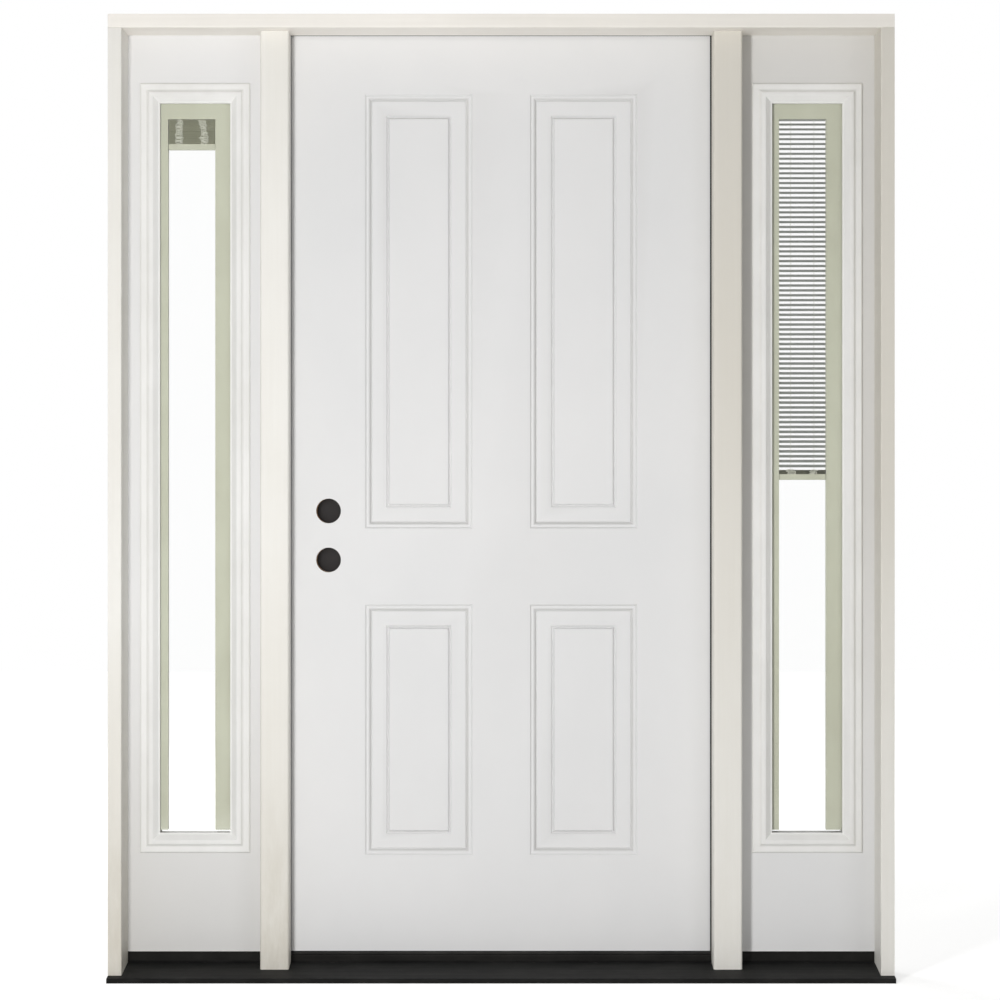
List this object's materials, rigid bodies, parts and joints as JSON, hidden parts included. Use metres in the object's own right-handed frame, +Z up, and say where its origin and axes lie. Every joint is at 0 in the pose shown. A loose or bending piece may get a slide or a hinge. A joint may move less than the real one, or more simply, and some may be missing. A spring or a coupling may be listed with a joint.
{
  "type": "entry door with sidelights",
  "caption": "Hinged panelled entry door between two fixed glazed sidelights with sealed blinds, in a jamb and mull-post frame on a sloping sill.",
  "frame": {"origin": "centre of the sill's underside", "axes": "+X right seen from outdoors, +Y indoors through the doorway, +Z up"},
  "size_m": [1.688, 0.206, 2.076],
  "materials": {
    "frame_paint": "factory-primed timber, satin white",
    "door_paint": "smooth white primer on steel sheet",
    "sill_metal": "dark bronze anodised aluminium",
    "sill_composite": "dark moulded composite",
    "seal": "dark foam-filled vinyl",
    "hinge_steel": "satin steel",
    "lite_plastic": "white moulded plastic",
    "clear_glass": "clear glass",
    "blind_beige": "beige painted channel",
    "blind_slat": "white painted slats",
    "blind_tape": "woven tape",
    "edge_timber": "planed softwood",
    "core_foam": "rigid foam",
    "cover_plastic": "charcoal plastic"
  },
  "bodies": {
    "frame": {"head_jamb": "frame_paint", "left_jamb": "frame_paint", "right_jamb": "frame_paint", "left_mull_post": "frame_paint", "right_mull_post": "frame_paint", "sill_tread": "sill_metal", "sill_base": "sill_composite", "door_sill_cap": "sill_composite", "left_sidelight_sill_cap": "sill_composite", "right_sidelight_sill_cap": "sill_composite", "side_weatherstrips": "seal", "head_weatherstrip": "seal", "hinge_frame_leaves": "hinge_steel", "hinge_pins": "hinge_steel", "left_sidelight_panel": "door_paint", "left_outer_lite_frame": "lite_plastic", "left_inner_lite_frame": "lite_plastic", "left_outer_pane": "clear_glass", "left_inner_pane": "clear_glass", "left_blind_surround": "blind_beige", "left_blind_stack": "blind_slat", "left_blind_bottom_rail": "blind_beige", "left_blind_ladders": "blind_tape", "right_sidelight_panel": "door_paint", "right_outer_lite_frame": "lite_plastic", "right_inner_lite_frame": "lite_plastic", "right_outer_pane": "clear_glass", "right_inner_pane": "clear_glass", "right_blind_surround": "blind_beige", "right_blind_stack": "blind_slat", "right_blind_bottom_rail": "blind_beige", "right_blind_ladders": "blind_tape", "right_blind_slats": "blind_slat"},
    "door_leaf": {"door_outer_skin": "door_paint", "door_inner_skin": "door_paint", "door_lock_stile": "edge_timber", "door_hinge_stile": "edge_timber", "door_top_rail": "edge_timber", "door_bottom_rail": "edge_timber", "door_lock_block": "edge_timber", "door_core": "core_foam", "door_sweep": "seal", "bore_covers": "cover_plastic", "hinge_door_leaves": "hinge_steel"}
  },
  "joints": [
    {"name": "door_swing", "type": "hinge", "parent": "frame", "child": "door_leaf", "pos_m": [0.4635, 0.10315, 1.05], "axis": [0, 0, -1], "range_deg": [0, 110]}
  ]
}
